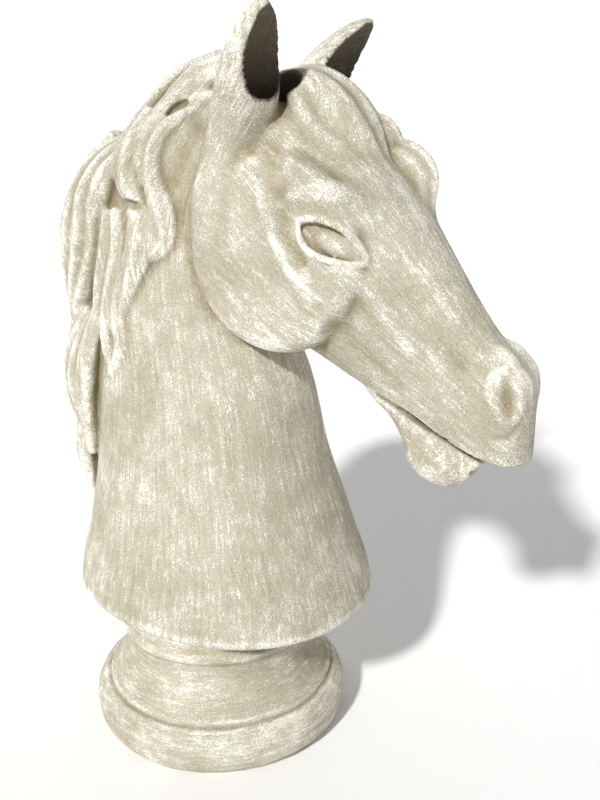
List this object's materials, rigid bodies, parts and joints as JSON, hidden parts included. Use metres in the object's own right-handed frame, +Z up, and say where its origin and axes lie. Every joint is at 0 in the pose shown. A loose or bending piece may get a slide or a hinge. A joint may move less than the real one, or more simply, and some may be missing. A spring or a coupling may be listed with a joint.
{
  "type": "giant chess piece",
  "caption": "Large outdoor chess knight: a hollow cast horse's head and neck bolted to a turned round pedestal that is weighted with sand.",
  "frame": {"origin": "centre of the pedestal's underside, on the ground", "axes": "+X the way the horse faces, +Y the horse's left, +Z up"},
  "size_m": [0.6715, 0.354, 0.9198],
  "materials": {
    "cast_stone": "matt cast stone, greige, dry-brushed with whitewash",
    "moulded_plate": "matt recycled plastic",
    "collar_plastic": "matt moulded plastic",
    "stopper_rubber": "soft black rubber",
    "sand": "dry kiln sand",
    "mortar": "fine cement mortar",
    "galvanised_steel": "dull zinc",
    "stainless_screws": "satin stainless",
    "insert_brass": "plain brass",
    "pin_steel": "plain stainless rod"
  },
  "bodies": {
    "piece": {"pedestal": "cast_stone", "bust_shell_right": "cast_stone", "bust_shell_left": "cast_stone", "right_ear": "cast_stone", "left_ear": "cast_stone", "forelock": "cast_stone", "mane": "cast_stone", "base_plate": "moulded_plate", "stopper_collar": "collar_plastic", "sand_ballast": "sand", "mortar_bed": "mortar", "tie_rod": "galvanised_steel", "lower_nut": "galvanised_steel", "upper_nut": "galvanised_steel", "lower_washer": "galvanised_steel", "clamp_plate": "galvanised_steel", "plate_screws": "stainless_screws", "screw_inserts": "insert_brass", "seam_dowels": "pin_steel", "ear_pins": "pin_steel", "mane_pins": "pin_steel"},
    "stopper": {"ballast_stopper": "stopper_rubber"}
  },
  "joints": [
    {"name": "stopper_pull", "type": "slide", "parent": "piece", "child": "stopper", "axis": [0, 0, -1], "range_m": [0, 0.03]}
  ]
}
